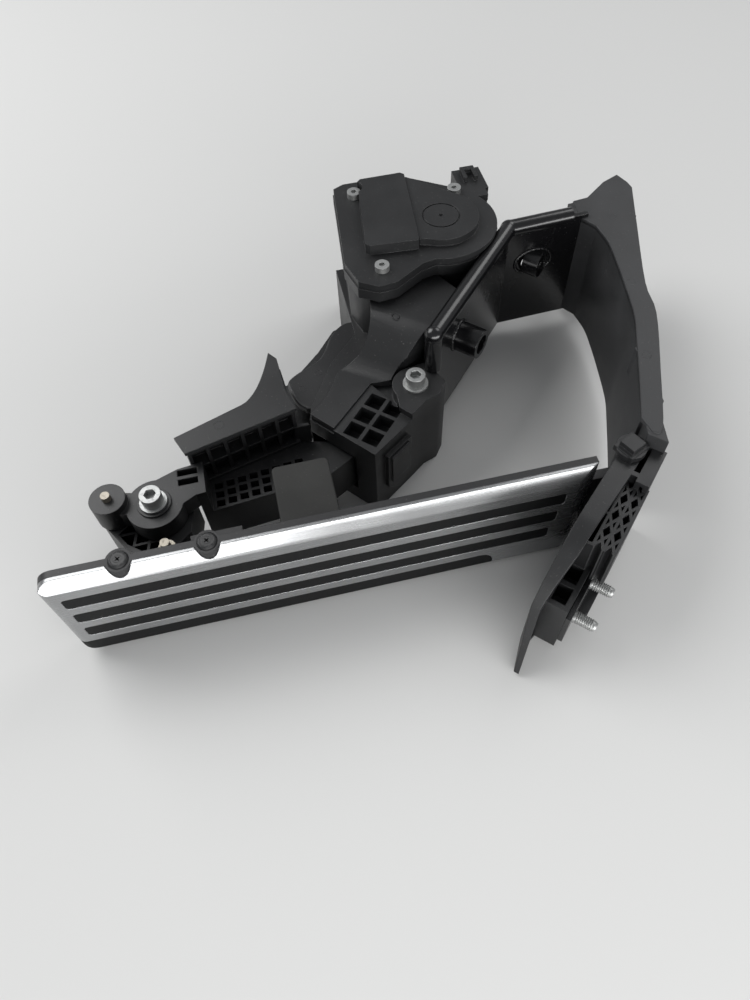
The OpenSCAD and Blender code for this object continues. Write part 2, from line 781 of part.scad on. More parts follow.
module main_housing() {
    floor_t = arm_low - 2;
    split = 47;
    web_z = 62;
    web_t = 8;
    color([0.075, 0.075, 0.08]) difference() {
        union() {
            linear_extrude(split) housing_plan();
            linear_extrude(chamber_h - 6) chamber_plan();
            translate([0, 0, chamber_h - 6]) linear_extrude(6) chamber_plan(2);
            translate([0, 0, split - eps]) linear_extrude(bolt_seat - split + eps)
                intersection() {
                    housing_plan();
                    bolt_deck();
                }
            translate([0, 0, split - eps]) linear_extrude(pocket_top - split + eps)
                intersection() {
                    housing_plan();
                    pocket_deck();
                }
            // Outer wing along the far side
            linear_extrude(42)
                polygon([[-57, -20], [-68, -24], [-79, -38], [-97, -56], [-97, -62], [-80, -64], [-57, -34]]);
            // Proud panel on the front wall
            front_panel();
            screw_bosses();
        }
        // Room for the arm and the springs
        translate([0, 0, floor_t]) linear_extrude(arm_h + 3.5) arm_room(1.5);
        translate([0, 0, floor_t + arm_h]) cylinder(r = chamber_r - housing_wall, h = web_z - floor_t - arm_h);
        difference() {
            translate([0, 0, web_z + web_t]) linear_extrude(20) board_plan();
            screw_bosses();
        }
        rim_bar(bracket_foot, bracket_knee, 0.4);
        // Seats of the bushes and the way of the shaft
        translate([0, 0, 2]) cylinder(r = shaft_r + 3, h = floor_t);
        translate([0, 0, web_z - 1]) cylinder(r = shaft_r + 3, h = web_t + 2);
        translate([0, 0, pocket_top - pocket_d]) linear_extrude(pocket_d + 1) pockets();
        translate([bolt_at.x, bolt_at.y, -1]) cylinder(r = shank_r + 0.2, h = bolt_seat + 2);
        translate([bolt_at.x, bolt_at.y, bolt_seat - 8]) cylinder(r = sleeve_r - 1.4, h = 10);
        for (p = screw_places) translate([p.x, p.y, chamber_h - 14]) cylinder(r = screw_r, h = 20);
        // Way for the stud behind the front collar
        collar_bore(collar_places[0], stud_gap);
    }
}

// Bosses of the cover screws
module screw_bosses(gap = 0) {
    for (p = screw_places) translate([p.x, p.y, chamber_h - 26]) cylinder(r = boss_wall_r + gap, h = 26);
}

// Plan of the sensor chamber's inside, shrunk by the gap
module board_plan(gap = 0) {
    circle(chamber_r - housing_wall - gap);
    translate([-50 + gap, -12 + gap]) square([40 - 2 * gap, 48 - 2 * gap]);
}

// Deck of the bolt lug and of the pocketed end, in plan
module bolt_deck() {
    translate(bolt_at) circle(12);
    polygon([[-46, -79], [-40, -73], [-24.9, -70], [-18, -84], [-25, -93], [-42, -103], [-47, -97]]);
}

module pocket_deck() {
    polygon([[-82, -100], [-57, -75], [-44, -98], [-42, -103], [-65, -120]]);
}

// Shallow proud panel on the wall that faces the pad
module front_panel() {
    a = pocket_corner;
    b = [-42, -103];
    d = b - a;
    translate([a.x, a.y, 0]) rotate([0, 0, atan2(d.y, d.x)]) translate([7, -2.5, 8]) {
        rotate([90, 0, 0]) translate([0, 0, -3]) linear_extrude(3)
            polygon([[0, 8], [9, 0], [18, 8], [18, 34], [0, 34]]);
        translate([2, 0, 12]) rotate([90, 0, 0]) linear_extrude(1.2) square([14, 20]);
    }
}

// Curved cover over the front of the housing, stepping down towards the arm
module top_cover() {
    split = 47;
    s0 = 62;
    s1 = 92;
    low = 51;
    steps = 10;
    color([0.085, 0.085, 0.09]) difference() {
        intersection() {
            translate([0, 0, split]) linear_extrude(housing_h - split) polygon([
                [-54, 0], [-56, -34], [-73, -52], [-89, -80], [-91, -88], [-81, -100],
                [-57, -75], [-46, -76], plate_face(0.1), plate_face(0.42), [-10, -25]
            ]);
            rotate([0, 0, arm_turn]) rotate([90, 0, 0]) translate([0, 0, -90]) linear_extrude(180)
                polygon([
                    [-60, split], [-60, housing_h],
                    for (i = [0:steps])
                        [s0 + (s1 - s0) * i / steps, low + (housing_h - low) * (1 + cos(180 * i / steps)) / 2],
                    [140, low], [140, split]
                ]);
        }
        translate([0, 0, split - 1]) linear_extrude(60) chamber_plan(0.1);
        translate([bolt_at.x, bolt_at.y, split - 1]) cylinder(r = 13.5, h = 60);
        translate([0, 0, split - 1]) linear_extrude(60)
            polygon([[-36, -70], [-16, -60], [-16, -96], [-40, -96]]);
        translate([0, 0, split - 1]) linear_extrude(60) {
            bolt_deck();
            pocket_deck();
        }
        screw_bosses(0.1);
        collar_bore(collar_places[0], stud_gap);
    }
}

module sensor_cover() {
    groove = 0.8;
    raised_r = 20.5;
    dial_r = 9.5;
    color([0.09, 0.09, 0.095]) difference() {
        union() {
            translate([0, 0, cover_z]) linear_extrude(cover_t) chamber_plan(1.5);
            translate([0, 0, cover_z]) linear_extrude(cover_t + cover_pad_h) {
                circle(raised_r);
                polygon([[-16, -16], [0, -raised_r], [14, 15], [-10, 38], [-20, 38]]);
            }
            translate([0, 0, cover_z]) linear_extrude(cover_t + cover_pad_h + 2)
                polygon([[-45, -15], [-43, -17], [-17, -19], [-11, 38], [-13, 40], [-36, 40], [-38, 38]]);
            connector_shroud();
        }
        rim_bar(bracket_foot, bracket_knee, 0.4);
        translate([0, 0, cover_top + cover_pad_h - groove]) ring(dial_r + 0.8, dial_r, 5);
        translate([0, 0, cover_top + cover_pad_h - groove]) cylinder(r = 1.2, h = 5);
        for (p = screw_places) translate([p.x, p.y, cover_z - 1]) {
            cylinder(r = screw_r + 0.2, h = 30);
            translate([0, 0, cover_t + 1]) cylinder(r = screw_head_r + 1.2, h = 30);
        }
    }
}

connector_at = [26, 42];
connector_w = 16;
connector_h = 12;
connector_len = 20;
connector_wall = 1.5;

// Plug socket at the chamber's far edge, open towards +Y
module connector_shroud() {
    x0 = connector_at.x - connector_w / 2;
    y0 = connector_at.y - connector_len;
    z0 = cover_top - connector_h;
    w = connector_wall;
    difference() {
        union() {
            translate([x0, y0, z0]) cube([connector_w, connector_len, connector_h]);
            translate([x0 - 8, y0 - 6, cover_z]) cube([connector_w + 6, 12, cover_t]);
            // Latch bridge over the socket
            translate([x0 + 4, y0 + 8, cover_top - eps]) cube([2, 10, 3]);
            translate([x0 + connector_w - 6, y0 + 8, cover_top - eps]) cube([2, 10, 3]);
            translate([x0 + 4, y0 + 15, cover_top + 1.5]) cube([connector_w - 8, 3, 1.5]);
        }
        translate([x0 + w, y0 + 8, z0 + w]) cube([connector_w - 2 * w, connector_len, connector_h - 2 * w]);
        // Side of the chamber stays clear of the shroud
        translate([0, 0, z0 - 1]) linear_extrude(cover_z - z0 + 1) chamber_plan(2.1);
        screw_bosses(0.1);
        for (i = [0:5]) translate([connector_at.x - 5 + (i % 3) * 5, y0, cover_top - 8 + floor(i / 3) * 4])
            rotate([-90, 0, 0]) translate([0, 0, -1]) cylinder(r = 0.6, h = 12, $fn = 16);
    }
}

module connector_terminals() {
    y0 = connector_at.y - connector_len;
    color([0.75, 0.66, 0.42]) for (i = [0:5])
        translate([connector_at.x - 5 + (i % 3) * 5, y0 + 4, cover_top - 8 + floor(i / 3) * 4])
            rotate([-90, 0, 0]) cylinder(r = 0.6, h = 11, $fn = 16);
}

module sensor_board() {
    color([0.10, 0.30, 0.16]) {
        difference() {
            translate([0, 0, chamber_h - 3]) linear_extrude(1.6) board_plan(0.3);
            screw_bosses(0.3);
        }
        translate([-3, -3, chamber_h - 1.4 - eps]) cube([6, 6, 1.2]);
    }
}

module pan_screw(r, head, len, head_h) {
    difference() {
        union() {
            translate([0, 0, -len]) cylinder(r = r, h = len);
            cylinder(r = head, h = head_h);
        }
        translate([0, 0, head_h - 1.4]) cylinder(r = head * 0.45, h = 2, $fn = 6);
    }
}

module cover_screws() {
    color([0.80, 0.81, 0.80]) for (p = screw_places)
        translate([p.x, p.y, cover_top]) pan_screw(screw_r, screw_head_r, cover_t + 12, 3.2);
}

module pivot_bushes() {
    color([0.72, 0.70, 0.60]) for (z = [2, 62])
        translate([0, 0, z]) ring(shaft_r + 3, shaft_r + run_gap, 8);
}

// A round wire wound into a coil, from its mean radius, wire and height
module coil(mean_r, wire_r, h, turns) {
    sides = 6;
    per_turn = 18;
    rings = turns * per_turn;
    points = [
        for (i = [0:rings]) let (a = 360 * i / per_turn, z = wire_r + (h - 2 * wire_r) * i / rings)
            for (j = [0:sides - 1]) let (b = 360 * j / sides)
                [(mean_r + wire_r * cos(b)) * cos(a), (mean_r + wire_r * cos(b)) * sin(a), z + wire_r * sin(b)]
    ];
    walls = [
        for (i = [0:rings - 1], j = [0:sides - 1]) let (k = (j + 1) % sides)
            [i * sides + j, (i + 1) * sides + j, (i + 1) * sides + k, i * sides + k]
    ];
    ends = [
        [for (j = [0:sides - 1]) j],
        [for (j = [0:sides - 1]) rings * sides + sides - 1 - j]
    ];
    polyhedron(points, concat(walls, ends), convexity = 10);
}

spring_h = 62 - spring_z0 + 3.4;

module outer_return_spring() {
    color([0.55, 0.56, 0.57]) translate([0, 0, spring_z0 - 3.7]) coil(19.5, 1.3, spring_h, 5);
}

module inner_return_spring() {
    color([0.55, 0.56, 0.57]) translate([0, 0, spring_z0 - 3.7]) coil(14, 1.1, spring_h, 5);
}

// Socket head bolt, with its seat at the local origin
module socket_bolt(len) {
    difference() {
        union() {
            translate([0, 0, -len]) cylinder(r = shank_r, h = len);
            cylinder(r = head_r, h = head_h);
        }
        translate([0, 0, head_h - 3.5]) cylinder(r = 2.9, h = 4, $fn = 6);
    }
}

module housing_sleeve() {
    color([0.78, 0.78, 0.74]) translate([bolt_at.x, bolt_at.y, bolt_seat - 8]) difference() {
        union() {
            cylinder(r = sleeve_r - 1.4, h = 8);
            translate([0, 0, 8]) cylinder(r = sleeve_r, h = 1.2);
        }
        translate([0, 0, -1]) cylinder(r = shank_r + 0.2, h = 12);
    }
}

module housing_bolt() {
    color([0.82, 0.82, 0.80]) translate([bolt_at.x, bolt_at.y, bolt_seat + 1.2]) socket_bolt(bolt_seat - 6);
}

module pivot_shaft() {
    color([0.66, 0.66, 0.66]) translate([0, 0, 2.5]) cylinder(r = shaft_r, h = 68.5);
}

module rotor_magnet() {
    color([0.20, 0.20, 0.22]) translate([0, 0, 71]) cylinder(r = 9, h = 4);
}

// Plan of the arm outside the housing
arm_plan = [
    [-152, -124], [-90, -117.5], [-73.5, -107.8], [-82, -96], [-98, -92], [-152, -106]
];
guard_foot = [-153, -105.5];
guard_end = [-99, -91.5];
guard_d = 9;
guard_h = 25;

module pedal_arm() {
    top = arm_low + arm_h;
    skin = 3;
    color([0.075, 0.075, 0.08]) difference() {
        union() {
            translate([0, 0, arm_low]) cylinder(r = shaft_r + 6, h = arm_h);
            translate([0, 0, top - 3]) cylinder(r = 22, h = 3);
            translate([0, 0, arm_low]) linear_extrude(arm_h) {
                strip_between([0, 0], [-79, -103], arm_w);
                polygon(arm_plan);
            }
            // Riser and neck that carry the end disc
            translate([0, 0, arm_low]) linear_extrude(disc_top - arm_low)
                polygon([[-152, -124], [-147.5, -123.5], [-147.5, -105], [-152, -106]]);
            translate([0, 0, disc_low]) linear_extrude(disc_h) {
                polygon([
                    [-148, -121.5], [-148, -105.5], [-160, -107],
                    [-172, -111.5], [-172, -137], [-161.5, -129]
                ]);
                translate(arm_end) circle(disc_r);
                translate(link_arm) circle(boss_r);
                strip_between(arm_end, link_arm, 12);
            }
            translate([link_arm.x, link_arm.y, disc_low]) cylinder(r = boss_r, h = boss_top - disc_low);
            translate([arm_end.x, arm_end.y, disc_low]) cylinder(r = sleeve_r + 1.5, h = disc_h + 1);
        }
        // Pockets between the ribs of the open stretch
        translate([0, 0, arm_low + skin]) linear_extrude(arm_h) arm_pockets();
        // Two slots in the neck
        for (y = [-111.5, -117]) translate([-160, y, disc_low + 2]) cube([9.5, 3.6, disc_h]);
        // Bores of the shaft, the bolt and the link's pin
        translate([0, 0, arm_low - 1]) cylinder(r = shaft_r, h = arm_h + 2);
        translate([arm_end.x, arm_end.y, disc_low - 1]) cylinder(r = shank_r, h = disc_h + 4);
        translate([link_arm.x, link_arm.y, disc_low - 1]) cylinder(r = link_pin_r, h = 30);
        // Room for the cap of the pad's link pin
        translate([link_pad.x, link_pad.y, disc_low - 1]) cylinder(r = pin_cap_r + 1.2, h = 30);
    }
}

// Pocket grid of the arm, in plan
module arm_pockets() {
    columns = 8;
    rows = 3;
    x0 = -145.5;
    x1 = -98;
    pitch = (x1 - x0) / columns;
    for (i = [0:columns - 1], j = [0:rows - 1]) {
        x = x0 + i * pitch;
        lift = (x - x0) * 0.12;
        translate([x, -121.5 + lift + j * 5.2]) square([pitch - arm_rib, 3.6]);
    }
}

// Ribbed guard along the back of the arm, with a curved horn
module arm_guard() {
    z0 = arm_low + arm_h;
    d = guard_end - guard_foot;
    len = norm(d);
    turn = atan2(d.y, d.x);
    columns = 6;
    pitch = (len - arm_rib) / columns;
    row = (guard_h - 2) / 2;
    horn_from = 34;
    horn_w = 25;
    horn_reach = 40;
    color([0.085, 0.085, 0.09]) translate([guard_foot.x, guard_foot.y, z0]) rotate([0, 0, turn]) {
        difference() {
            cube([len, guard_d, guard_h]);
            for (i = [0:columns - 1], j = [0:1])
                translate([arm_rib + i * pitch, -1, 1 + j * row])
                    cube([pitch - arm_rib, guard_d - 1, row - 1.2]);
        }
        // Top flange that runs out into the horn
        translate([0, 0, guard_h]) linear_extrude(2) polygon([
            [-1, -1], [len + 1, -1], [len + 1, guard_d + 3.5], [len + 5.5, horn_reach - 6],
            for (t = [1:-0.1:0])
                [horn_from + horn_w * t, guard_d + 5 + (horn_reach - guard_d - 5) * pow(t, 1.6)],
            [-2.5, guard_d + 1.5]
        ]);
        // Fin under the horn
        translate([len - 1.5, guard_d - 1, 6]) rotate([0, 0, -10]) cube([2.5, 20, guard_h - 5]);
    }
}

module arm_bolt() {
    color([0.82, 0.82, 0.80]) translate([arm_end.x, arm_end.y, disc_top + 2.2]) socket_bolt(disc_h + 2);
}

module arm_washer() {
    color([0.78, 0.78, 0.75]) translate([arm_end.x, arm_end.y, disc_top + 1])
        ring(sleeve_r, shank_r + 0.1, 1.2);
}

module arm_link_pin() {
    color([0.72, 0.68, 0.58]) translate([link_arm.x, link_arm.y, link_low - 1])
        cylinder(r = link_pin_r, h = boss_top + 4 - link_low);
}

// Ribbed link between the arm's boss and the pad's pin
module coupling_link() {
    wall = 2;
    web = 3;
    head = 7.5;
    foot = eye_r + 2.4;
    n = link_len;
    outline = [[0, -head], [16, -9.5], [n, -foot], [n, foot], [16, 9.5], [0, head]];
    wing = [[16, 9], [30, foot], [n - 4, foot], [n - 4, foot + 9], [23, 30], [14, 27], [11, 12]];
    inner = [
        [head + 1, -6.5], [16, -7.4], [n - foot - 1, -4.2],
        [n - foot - 1, 4.2], [16, 7.4], [head + 1, 6.5]
    ];
    color([0.07, 0.07, 0.075]) translate([link_arm.x, link_arm.y, link_low]) rotate([0, 0, link_turn])
        difference() {
            union() {
                difference() {
                    linear_extrude(link_h) {
                        polygon(outline);
                        circle(head);
                        translate([n, 0]) circle(foot);
                        polygon(wing);
                    }
                    translate([0, 0, web]) linear_extrude(link_h) polygon(inner);
                }
                // Crossed ribs
                for (c = [13.5, 22.5], s = [-1, 1])
                    translate([c, 0, 1]) rotate([0, 0, s * 52]) translate([-8, -0.7, 0])
                        cube([16, 1.4, link_h - 2.5]);
            }
            translate([0, 0, -1]) cylinder(r = link_pin_r + run_gap, h = link_h + 2);
            translate([n, 0, -1]) cylinder(r = eye_r, h = link_h + 2);
        }
}

main_housing();
top_cover();
sensor_cover();
connector_terminals();
sensor_board();
cover_screws();
pivot_bushes();
outer_return_spring();
inner_return_spring();
housing_bolt();
housing_sleeve();
steel_bracket();
mount_collars();
side_arm();
heel_bracket();
stud_plate();
floor_studs();
hinge_pin();
hinge_retainer();
pad_back();
pad_cover();
grip_strips();
pad_clips();
pad_link_pin();
stop_block();
pedal_arm();
arm_guard();
pivot_shaft();
rotor_magnet();
arm_bolt();
arm_washer();
arm_link_pin();
coupling_link();
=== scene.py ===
"""Looks of a floor hinged accelerator pedal unit that lies on its side.

Everything is in metres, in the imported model's own frame: X along the pad,
Z along the pivots, and the origin at the arm's pivot on the resting plane.
"""
import json
import math

import bmesh
import bpy
from mathutils import Matrix, Vector


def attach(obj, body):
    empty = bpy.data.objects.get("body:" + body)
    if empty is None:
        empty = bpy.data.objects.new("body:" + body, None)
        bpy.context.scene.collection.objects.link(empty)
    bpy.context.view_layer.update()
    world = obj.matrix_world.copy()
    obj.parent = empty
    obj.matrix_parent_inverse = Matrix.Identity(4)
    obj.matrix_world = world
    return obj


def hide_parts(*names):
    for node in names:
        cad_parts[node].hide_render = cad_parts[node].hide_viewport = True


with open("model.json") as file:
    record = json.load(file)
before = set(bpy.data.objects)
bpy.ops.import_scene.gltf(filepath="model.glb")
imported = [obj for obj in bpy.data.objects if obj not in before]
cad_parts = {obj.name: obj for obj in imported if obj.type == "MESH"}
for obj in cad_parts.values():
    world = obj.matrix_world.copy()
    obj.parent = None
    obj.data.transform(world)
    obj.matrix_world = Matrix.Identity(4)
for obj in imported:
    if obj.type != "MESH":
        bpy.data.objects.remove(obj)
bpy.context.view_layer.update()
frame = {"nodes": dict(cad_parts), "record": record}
MM = 0.001
UP = Vector((0, 0, 1))
RECORD = frame["record"]

# Camera of the photograph, from its height, tilt, heading and roll
CAMERA_PLACE = (-0.1042, -0.3341, 0.345)
CAMERA_TILT = 57.0
CAMERA_HEADING = 10.0
CAMERA_ROLL = 3.4
FOCAL_PIXELS = 751.0
IMAGE_HEIGHT = 1000.0
SENSOR = 36.0

# Places of the colour sockets in a mix node, whose names are used by its other kinds too
MIX_SHARE = 0
MIX_COLOURS = (6, 7)
MIX_RESULT = 2


class Value:
    """A socket in a material's maths, so that a sum of sockets adds its own nodes."""

    def __init__(self, paint, socket):
        self.paint = paint
        self.socket = socket

    def _math(self, operation, first, second):
        return self.paint.node("ShaderNodeMath", {"operation": operation}, {0: first, 1: second})

    def __add__(self, other):
        return self._math("ADD", self, other)

    def __radd__(self, other):
        return self._math("ADD", other, self)

    def __sub__(self, other):
        return self._math("SUBTRACT", self, other)

    def __rsub__(self, other):
        return self._math("SUBTRACT", other, self)

    def __mul__(self, other):
        return self._math("MULTIPLY", self, other)

    def __rmul__(self, other):
        return self._math("MULTIPLY", other, self)

    def above(self, low, high):
        """0 below low, 1 above high, and a straight rise between."""
        return self.paint.node(
            "ShaderNodeMapRange", {}, {"Value": self, "From Min": low, "From Max": high}
        )


class Paint:
    """One material, named for its slot in the record."""

    def __init__(self, slot, colour, roughness, metallic=0.0, **fixed):
        self.slot = slot
        self.material = bpy.data.materials.new(slot)
        self.material.use_nodes = True
        self.tree = self.material.node_tree
        self.shader = self.tree.nodes["Principled BSDF"]
        self.shader.inputs["Base Color"].default_value = (*colour, 1)
        self.shader.inputs["Roughness"].default_value = roughness
        self.shader.inputs["Metallic"].default_value = metallic
        for name, value in fixed.items():
            self.shader.inputs[name.replace("_", " ").title()].default_value = value
        self.edge_normal = None
        self.place = self.node("ShaderNodeTexCoord", {}, {}, "Object")

    def node(self, kind, settings, values, output=0):
        """Adds a node, sets it up, then sets or links its sockets, and returns one output."""
        made = self.tree.nodes.new(kind)
        for name, setting in settings.items():
            setattr(made, name, setting)
        for name, value in values.items():
            if isinstance(value, Value):
                self.tree.links.new(value.socket, made.inputs[name])
            else:
                made.inputs[name].default_value = value
        return Value(self, made.outputs[output])

    def noise(self, scale, detail=2.0, stretch=(1, 1, 1)):
        """Soft noise, with features of about 1 / scale metres."""
        place = self.place
        if stretch != (1, 1, 1):
            place = self.node("ShaderNodeMapping", {}, {"Vector": place, "Scale": stretch})
        return self.node(
            "ShaderNodeTexNoise", {}, {"Vector": place, "Scale": scale, "Detail": detail}
        )

    def mix(self, share, first, second):
        """A colour between two colours, by a share that is a socket from 0 to 1."""
        made = self.tree.nodes.new("ShaderNodeMix")
        made.data_type = "RGBA"
        self.tree.links.new(share.socket, made.inputs[MIX_SHARE])
        for index, colour in zip(MIX_COLOURS, (first, second)):
            if isinstance(colour, Value):
                self.tree.links.new(colour.socket, made.inputs[index])
            else:
                made.inputs[index].default_value = (*colour, 1)
        return Value(self, made.outputs[MIX_RESULT])

    def feed(self, name, value):
        """Links a value to a socket of the shader."""
        self.tree.links.new(value.socket, self.shader.inputs[name])

    def round_edges(self, radius):
        """The surface normal, turned round the corners as on a moulded edge."""
        self.edge_normal = self.node("ShaderNodeBevel", {"samples": 4}, {"Radius": radius})

    def edge_wear_and_highlight_mask(self, radius):
        """1 on sharp edges and 0 away from them."""
        soft = self.node("ShaderNodeBevel", {"samples": 4}, {"Radius": radius})
        flat = self.node("ShaderNodeNewGeometry", {}, {}, "Normal")
        dot = self.node("ShaderNodeVectorMath", {"operation": "DOT_PRODUCT"}, {0: soft, 1: flat}, "Value")
        return (1 - dot).above(0.02, 0.22)

    def relief(self, height, distance, strength=1.0):
        """Bumps the surface by a height from 0 to 1, over the rounded edges if there are any."""
        values = {"Height": height, "Distance": distance, "Strength": strength}
        if self.edge_normal:
            values["Normal"] = self.edge_normal
        self.feed("Normal", self.node("ShaderNodeBump", {}, values))


def lighter(colour, factor):
    """A colour times a factor, darker where the factor is under 1."""
    return tuple(min(1.0, channel * factor) for channel in colour)


def moulded(slot, colour, roughness, grain=1400, smudge=0.5):
    """Matt moulded plastic: fine grain, faint handling marks, specks of dust, and lighter edges that are
    a painted highlight with a little wear.
    """
    paint = Paint(slot, colour, roughness)
    fine = paint.noise(grain, 3)
    marks = paint.noise(38, 4).above(0.45, 0.75)
    dust = paint.noise(900, 1).above(0.70, 0.80)
    shade = paint.mix(marks * smudge, colour, lighter(colour, 1.7))
    shade = paint.mix(dust * 0.35, shade, (0.16, 0.155, 0.15))
    # Painted highlight with a little edge wear: the edges are lightened as if they catch the light, and
    # made a bit glossier.
    edge = paint.edge_wear_and_highlight_mask(0.0007)
    shade = paint.mix(edge * 0.35, shade, lighter(colour, 2.6))
    paint.feed("Base Color", shade)
    paint.feed("Roughness", roughness + marks * 0.12 + dust * 0.15 - edge * 0.1)
    paint.round_edges(0.0005)
    paint.relief(fine, 0.00012, 0.35)
    return paint


def gloss_paint(slot, colour):
    """Thick gloss paint on pressed steel, with a slight orange peel and fine scuffs."""
    paint = Paint(slot, colour, 0.26, coat_weight=0.25, coat_roughness=0.12)
    peel = paint.noise(420, 2)
    scuffs = paint.noise(90, 5).above(0.60, 0.75)
    dust = paint.noise(800, 1).above(0.72, 0.80)
    shade = paint.mix(dust * 0.1, colour, (0.2, 0.2, 0.19))
    paint.feed("Base Color", paint.mix(scuffs * 0.25, shade, lighter(colour, 2)))
    paint.feed("Roughness", 0.24 + scuffs * 0.1 + dust * 0.2)
    paint.round_edges(0.0006)
    paint.relief(peel, 0.0002, 0.25)
    return paint


def satin_cover(slot, colour):
    """Satin metallised cover: a cloudy sheen with faint brushing along the pad."""
    paint = Paint(slot, colour, 0.34, 0.85)
    brush = paint.noise(700, 2, (0.03, 1, 1))
    cloud = paint.noise(30, 3)
    specks = paint.noise(1500, 1).above(0.72, 0.8)
    shade = paint.mix(cloud.above(0.35, 0.7), lighter(colour, 0.86), colour)
    paint.feed("Base Color", paint.mix(specks * 0.35, shade, (0.2, 0.2, 0.2)))
    paint.feed("Roughness", 0.2 + brush * 0.08 + cloud * 0.06)
    paint.round_edges(0.0007)
    paint.relief(brush, 0.00008, 0.2)
    return paint


def soft_rubber(slot, colour, roughness=0.55):
    """Rubber with a fine matt skin and a little dust in it."""
    paint = Paint(slot, colour, roughness)
    paint.shader.inputs["Specular IOR Level"].default_value = 0.2
    skin = paint.noise(1800, 3)
    bloom = paint.noise(45, 4).above(0.4, 0.8)
    dust = paint.noise(1100, 1).above(0.69, 0.78)
    shade = paint.mix(bloom * 0.5, colour, lighter(colour, 1.8))
    paint.feed("Base Color", paint.mix(dust * 0.2, shade, (0.16, 0.16, 0.15)))
    paint.feed("Roughness", roughness + bloom * 0.12)
    paint.round_edges(0.0006)
    paint.relief(skin, 0.0001, 0.4)
    return paint


def plated(slot, colour, roughness, spots=0.5):
    """Plated steel: a cloudy plate with small dull spots and a soft edge."""
    paint = Paint(slot, colour, roughness, 1.0)
    cloud = paint.noise(260, 3)
    dull = paint.noise(700, 2).above(0.55, 0.7)
    paint.feed("Base Color", paint.mix(dull * spots, colour, lighter(colour, 0.62)))
    paint.feed("Roughness", roughness + cloud * 0.12 + dull * 0.1)
    paint.round_edges(0.0003)
    paint.relief(cloud, 0.00005, 0.3)
    return paint


def lacquered_board(slot, colour):
    """Circuit board: green lacquer with paler tracks."""
    paint = Paint(slot, colour, 0.3)
    tracks = paint.noise(300, 0, (1, 0.2, 1)).above(0.52, 0.56)
    paint.feed("Base Color", paint.mix(tracks, colour, lighter(colour, 1.7)))
    paint.relief(tracks, 0.00005, 0.4)
    return paint


# The record's colours, darkened on the black pieces to what the photograph's light makes of them
BASE = {entry["slot"]: tuple(entry["base_color"]) for entry in RECORD["materials"]}
PAINTS = [
    moulded("moulding", lighter(BASE["moulding"], 0.3), 0.4),
    moulded("arm_moulding", lighter(BASE["arm_moulding"], 0.6), 0.5, 1100, 0.8),
    moulded("pad_moulding", lighter(BASE["pad_moulding"], 0.5), 0.46),
    gloss_paint("painted_steel", lighter(BASE["painted_steel"], 0.25)),
    satin_cover("bright_cover", lighter(BASE["bright_cover"], 0.48)),
    soft_rubber("grip_rubber", lighter(BASE["grip_rubber"], 0.12)),
    soft_rubber("block_rubber", lighter(BASE["block_rubber"], 0.7), 0.62),
    plated("zinc", lighter(BASE["zinc"], 0.6), 0.42),
    plated("pin_steel", lighter(BASE["pin_steel"], 0.5), 0.42, 0.7),
    plated("spring_wire", BASE["spring_wire"], 0.35),
    plated("bush", BASE["bush"], 0.42, 0.8),
    plated("terminal", BASE["terminal"], 0.25),
    lacquered_board("board", BASE["board"]),
    plated("magnet", BASE["magnet"], 0.5),
]
MATERIALS = {paint.slot: paint.material for paint in PAINTS}
SLOT_OF = {entry["node"]: entry["material_slot"] for entry in RECORD["subparts"]}
BODY_OF = {node: body for body, nodes in RECORD["behaviour"]["bodies"].items() for node in nodes}

# Nodes that are shown as copies with rounded edges, and the width of the rounding in mm
ROUNDED = {
    "main_housing": 0.5, "sensor_cover": 0.5, "heel_bracket": 0.35, "pad_back": 0.5,
    "pad_cover": 0.5, "grip_strips": 0.8, "stop_block": 0.8, "pedal_arm": 0.4, "arm_guard": 0.35,
    "coupling_link": 0.4, "steel_bracket": 0.5, "mount_collars": 0.4, "stud_plate": 0.4,
    "hinge_retainer": 0.3, "housing_bolt": 0.3, "arm_bolt": 0.3,
}

# Height in mm of the pedal arm's face that slides under the pad's clip at full press, and its drop
SLIDING_FACE = 53
SLIDING_GAP = 0.08

# Plan of the side arm in mm: its inner edge from the sleeve to the heel, and its outer edge back
SIDE_ARM_INNER = [
    (85.3, -14.2), (86.6, -28), (85.2, -42), (82.2, -61), (77.9, -83), (73.2, -97),
    (64.5, -120), (54, -147),
]
SIDE_ARM_OUTER = [
    (55.5, -156), (61, -155), (74.5, -123), (89, -86), (92.8, -64), (108, -18), (118.3, 12.5),
]
SIDE_ARM_TIP = [(117.6, 18), (114.6, 26.2), (104, 21.5), (90, 10.5)]
SIDE_ARM_NECK = [(79.8, -5.7), (85.3, -14.2)]
SIDE_ARM_SLEEVE = [(79.8, -5.7), (86, -14), (100, -8), (100, 10), (78, 9)]
SIDE_ARM_LUG = [(60.5, -163), (53.5, -156), (56, -146), (64, -146)]

# Heights of the side arm in mm: its top and foot, the wall, the flange, the rim's skirt, the lug
# and the ribs; and how far along the arm each rib stands
SIDE_TOP = 75
SIDE_LOW = 9
SIDE_WALL = 3
SIDE_FLANGE = 3
SIDE_SKIRT = 16
SIDE_LUG = 40
SIDE_RIB = 18
SIDE_RIB_HALF = 1.2
SIDE_RIB_SHARES = (0.24, 0.42, 0.6, 0.78)

# Winding edge of the crown and edge of the wing beside it, in mm
CROWN_EDGE = [
    (-46, -20), (-48, -36), (-51, -49), (-57, -57), (-65, -60), (-72, -63), (-76, -70),
    (-82, -79), (-92, -88.5), (-94, -92),
]
CROWN_BEFORE = [(60, 40), (-44, 20)]
CROWN_BEHIND = [(-80, -140), (60, -140)]
CROWN_TRIM_LOW = 40
CROWN_TRIM_HEIGHT = 50
WING_EDGE = [
    (-50, -24), (-60, -23.5), (-66.5, -27), (-71.5, -33), (-75.5, -41), (-80, -47), (-86.5, -51),
    (-93.5, -54.5), (-98.5, -58.5), (-99, -63), (-96.5, -74), (-92, -80),
]
WING_ROOT = [(-84, -82), (-70, -52), (-52, -30)]
WING_TOP = 46.5
WING_WALL = 5

